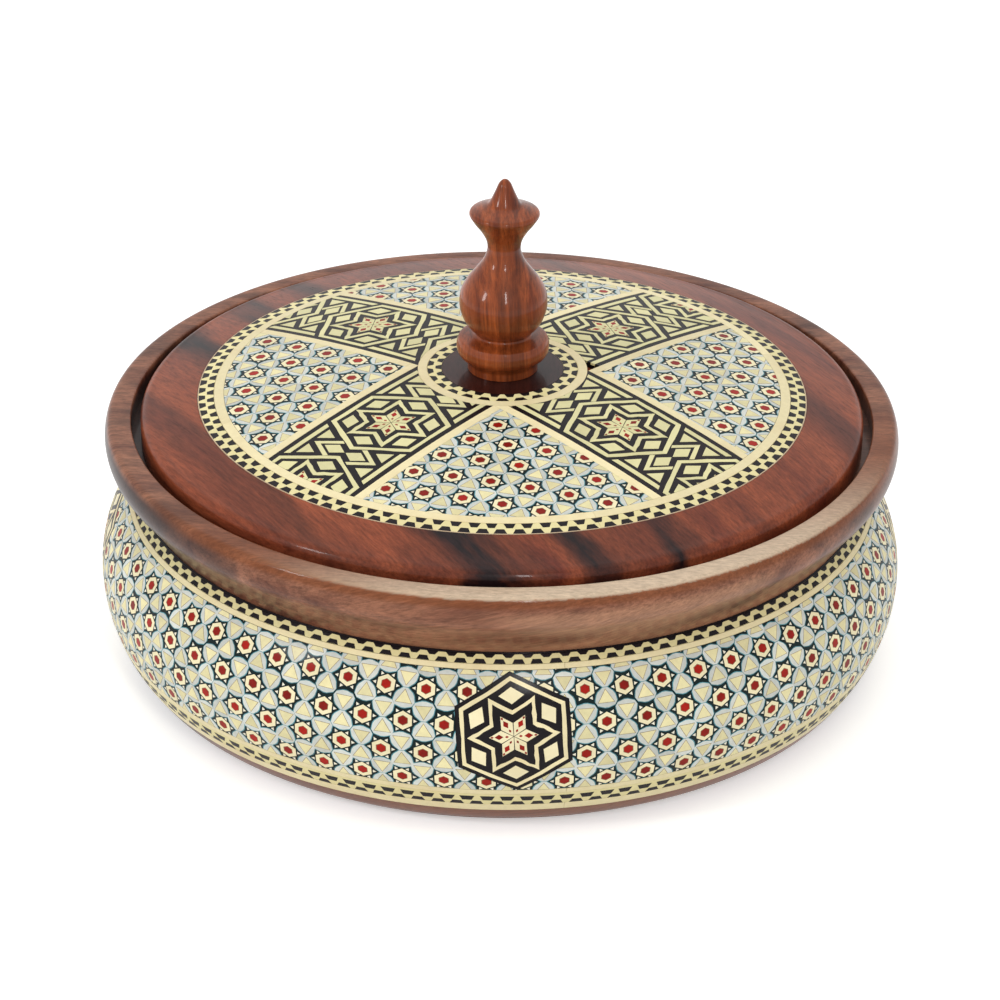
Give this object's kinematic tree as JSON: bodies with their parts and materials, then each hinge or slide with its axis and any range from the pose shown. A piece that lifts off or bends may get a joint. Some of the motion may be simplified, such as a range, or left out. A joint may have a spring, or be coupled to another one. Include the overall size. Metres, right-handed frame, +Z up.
{
  "type": "inlaid lidded bowl",
  "caption": "Round turned wooden sugar bowl with star marquetry let in flush around the belly and over a domed lid that lifts off by a turned knob.",
  "frame": {"origin": "centre of the flat base, on the surface the bowl stands on", "axes": "+Z up along the turned axis; -Y is the front, where a medallion faces the viewer"},
  "size_m": [0.2046, 0.2046, 0.1275],
  "materials": {
    "bowl_wood": "turned walnut-brown wood under clear gloss lacquer",
    "lid_wood": "streaky dark reddish-brown wood under clear gloss lacquer",
    "knob_wood": "turned orange-brown wood under clear gloss lacquer",
    "black_wood": "thin black strip under clear gloss lacquer",
    "tooth_inlay": "cream and black toothed strip inlay under gloss lacquer",
    "cream_inlay": "plain cream strip inlay under gloss lacquer",
    "black_star_inlay": "black and cream star lattice inlay under gloss lacquer",
    "star_inlay": "small star marquetry of pale, green-black and red chips under gloss lacquer"
  },
  "bodies": {
    "bowl": {"bowl_shell": "bowl_wood", "neck_black_line": "black_wood", "upper_tooth_band": "tooth_inlay", "upper_cream_line": "cream_inlay", "belly_panel_front_right": "star_inlay", "belly_panel_back_right": "star_inlay", "belly_panel_back_left": "star_inlay", "belly_panel_front_left": "star_inlay", "medallion_front": "black_star_inlay", "medallion_right": "black_star_inlay", "medallion_back": "black_star_inlay", "medallion_left": "black_star_inlay", "lower_cream_line": "cream_inlay", "lower_tooth_band": "tooth_inlay", "base_cream_line": "cream_inlay"},
    "lid": {"lid_disc": "lid_wood", "lid_outer_tooth_band": "tooth_inlay", "lid_outer_cream_ring": "cream_inlay", "lid_sector_front": "star_inlay", "lid_sector_right": "star_inlay", "lid_sector_back": "star_inlay", "lid_sector_left": "star_inlay", "lid_star_band_back_right": "black_star_inlay", "lid_star_band_back_left": "black_star_inlay", "lid_star_band_front_left": "black_star_inlay", "lid_star_band_front_right": "black_star_inlay", "lid_strip_back_right_left": "cream_inlay", "lid_strip_back_right_right": "cream_inlay", "lid_strip_back_left_left": "cream_inlay", "lid_strip_back_left_right": "cream_inlay", "lid_strip_front_left_left": "cream_inlay", "lid_strip_front_left_right": "cream_inlay", "lid_strip_front_right_left": "cream_inlay", "lid_strip_front_right_right": "cream_inlay", "lid_inner_cream_ring": "cream_inlay", "lid_inner_tooth_band": "tooth_inlay", "lid_centre_disc": "lid_wood", "lid_knob": "knob_wood"}
  },
  "joints": [
    {"name": "lid_lift", "type": "slide", "parent": "bowl", "child": "lid", "axis": [0, 0, 1], "range_m": [0, 0.15]}
  ]
}
